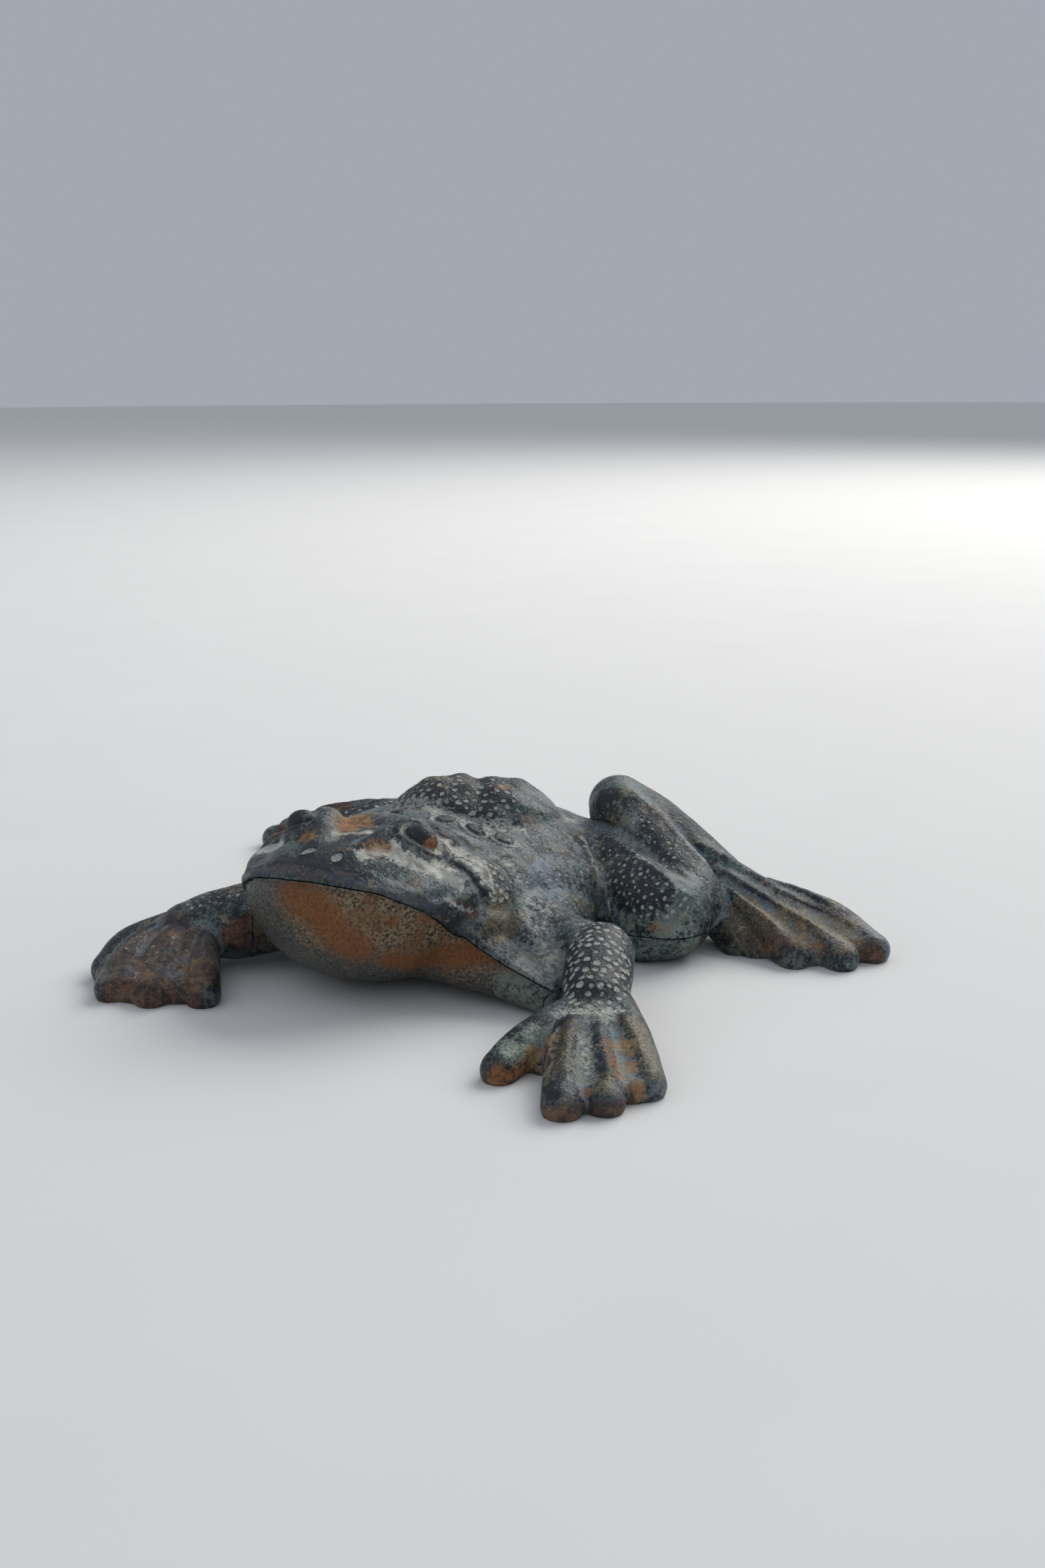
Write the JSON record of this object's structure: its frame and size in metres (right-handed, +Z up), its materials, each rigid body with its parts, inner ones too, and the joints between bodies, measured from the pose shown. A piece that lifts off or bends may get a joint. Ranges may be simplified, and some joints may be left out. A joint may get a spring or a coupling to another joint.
{
  "type": "cast iron frog figure",
  "caption": "Hollow cast frog lying low with webbed hands and one hind leg drawn up, for a table or a garden step.",
  "frame": {"origin": "middle of the footprint, on the plane that the belly and the soles rest on", "axes": "+Z up; the frog faces -Y, and its own left side is +X"},
  "size_m": [0.1784, 0.1492, 0.0357],
  "materials": {
    "patinated_iron": "dark blue-grey iron with a satin patina, pale dust in the hollows and rust in the grooves",
    "rusty_iron": "rough sand-cast iron with orange-brown rust and grey-green edges",
    "screw_steel": "dull rusted steel"
  },
  "bodies": {
    "root": {"upper_casting": "patinated_iron", "lower_casting": "rusty_iron", "front_screw": "screw_steel", "rear_screw": "screw_steel"}
  },
  "joints": []
}
